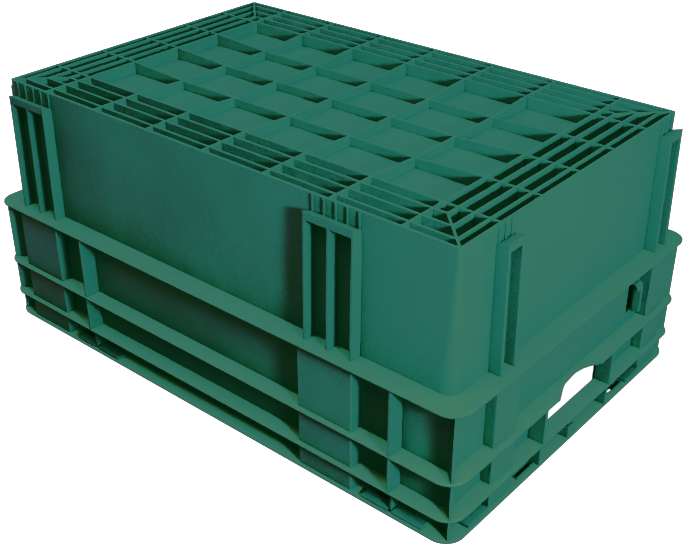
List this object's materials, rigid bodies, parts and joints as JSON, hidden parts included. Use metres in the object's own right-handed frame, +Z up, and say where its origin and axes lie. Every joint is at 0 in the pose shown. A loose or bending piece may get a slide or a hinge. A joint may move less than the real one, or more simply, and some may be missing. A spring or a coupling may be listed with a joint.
{
  "type": "stacking storage crate",
  "caption": "Rigid plastic stacking crate standing upside down on its flanged rim, with a ribbed base, box-section corners, stacking columns and a hand hold in each end.",
  "frame": {"origin": "centre of the open rim, in the plane the crate stands on", "axes": "+X along the long sides, towards one hand-hold end; +Y across the crate; +Z up, from the open rim to the ribbed base"},
  "size_m": [0.6, 0.4, 0.27],
  "materials": {
    "green_plastic": "satin"
  },
  "bodies": {
    "root": {"base_band_back": "green_plastic", "base_band_front": "green_plastic", "base_band_left": "green_plastic", "base_band_right": "green_plastic", "base_corner_knots": "green_plastic", "base_field_ribs": "green_plastic", "base_mitre_ribs": "green_plastic", "box_section_back_left": "green_plastic", "box_section_back_right": "green_plastic", "box_section_front_left": "green_plastic", "box_section_front_right": "green_plastic", "box_section_left_back": "green_plastic", "box_section_left_front": "green_plastic", "box_section_right_back": "green_plastic", "box_section_right_front": "green_plastic", "column_back_left": "green_plastic", "column_back_right": "green_plastic", "column_front_left": "green_plastic", "column_front_right": "green_plastic", "column_left_back": "green_plastic", "column_left_front": "green_plastic", "column_right_back": "green_plastic", "column_right_front": "green_plastic", "corner_fin_back_left": "green_plastic", "corner_fin_back_right": "green_plastic", "corner_fin_front_left": "green_plastic", "corner_fin_front_right": "green_plastic", "floor_panel": "green_plastic", "hand_hold_plates_left": "green_plastic", "hand_hold_plates_right": "green_plastic", "hand_hold_sill_left": "green_plastic", "hand_hold_sill_right": "green_plastic", "label_hook_left": "green_plastic", "label_hook_right": "green_plastic", "lower_rib": "green_plastic", "lower_wall_back": "green_plastic", "lower_wall_front": "green_plastic", "lower_wall_left": "green_plastic", "lower_wall_right": "green_plastic", "middle_ledge": "green_plastic", "rim_clip_left": "green_plastic", "rim_clip_right": "green_plastic", "rim_flange": "green_plastic", "rim_pads_back": "green_plastic", "rim_pads_front": "green_plastic", "rim_pads_left": "green_plastic", "rim_pads_right": "green_plastic", "rim_slot_lips_left": "green_plastic", "rim_slot_lips_right": "green_plastic", "upper_rib": "green_plastic", "upper_wall_back": "green_plastic", "upper_wall_front": "green_plastic", "upper_wall_left": "green_plastic", "upper_wall_right": "green_plastic", "upright_ribs_back": "green_plastic", "upright_ribs_front": "green_plastic"}
  },
  "joints": []
}
